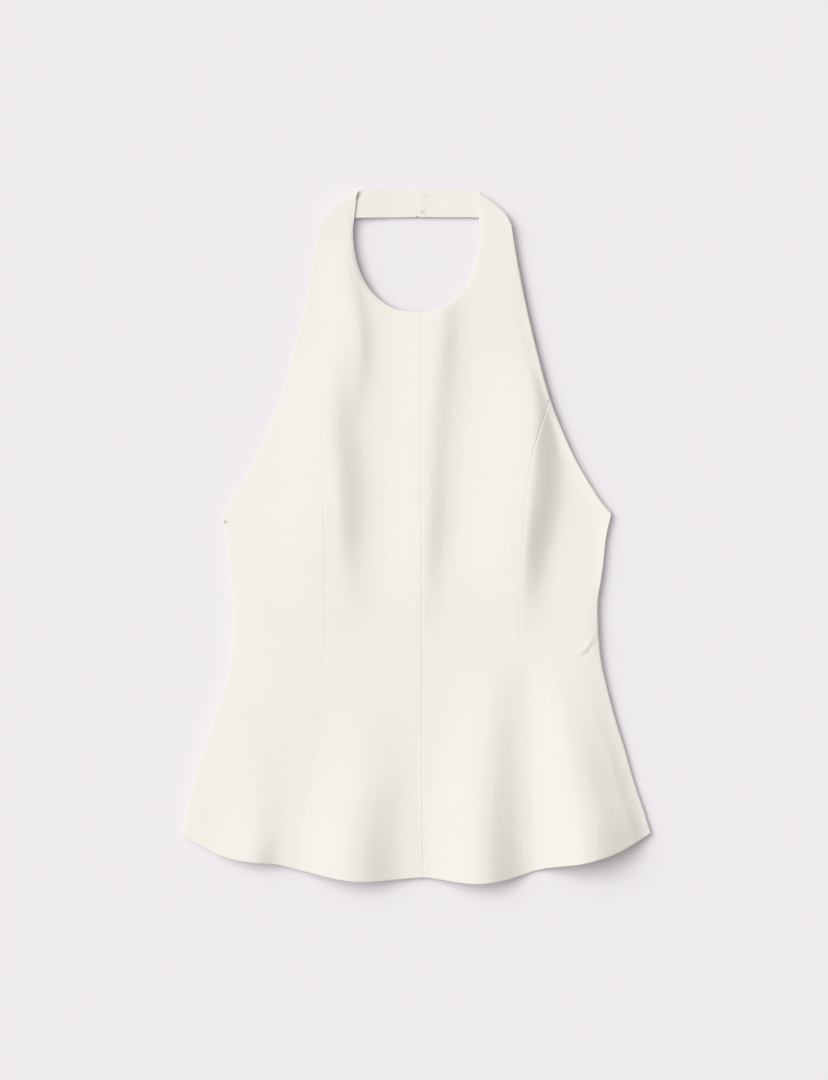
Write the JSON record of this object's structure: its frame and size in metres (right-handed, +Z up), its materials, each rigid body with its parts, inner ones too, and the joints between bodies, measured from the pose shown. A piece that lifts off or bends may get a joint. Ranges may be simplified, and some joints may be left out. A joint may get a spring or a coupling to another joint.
{
  "type": "halter neck top",
  "caption": "Sleeveless fitted top with a high rounded halter neck, princess seams and a flared hem, laid flat with its neck band hooked at the nape.",
  "frame": {"origin": "middle of the garment's outline as it lies, on the surface that it lies on", "axes": "+Z up from the surface; +Y from the hem to the neck; +X to the wearer's left"},
  "size_m": [0.4889, 0.7261, 0.0297],
  "materials": {
    "crepe": "soft matt satin",
    "metal": "pale enamelled wire"
  },
  "bodies": {
    "root": {"back": "crepe", "front_side_right": "crepe", "front_side_left": "crepe", "front_centre_right": "crepe", "front_centre_left": "crepe", "neck_band_right": "crepe", "neck_band_left": "crepe", "nape_hook": "metal", "nape_eye": "metal", "side_zip_slider": "metal"}
  },
  "joints": []
}
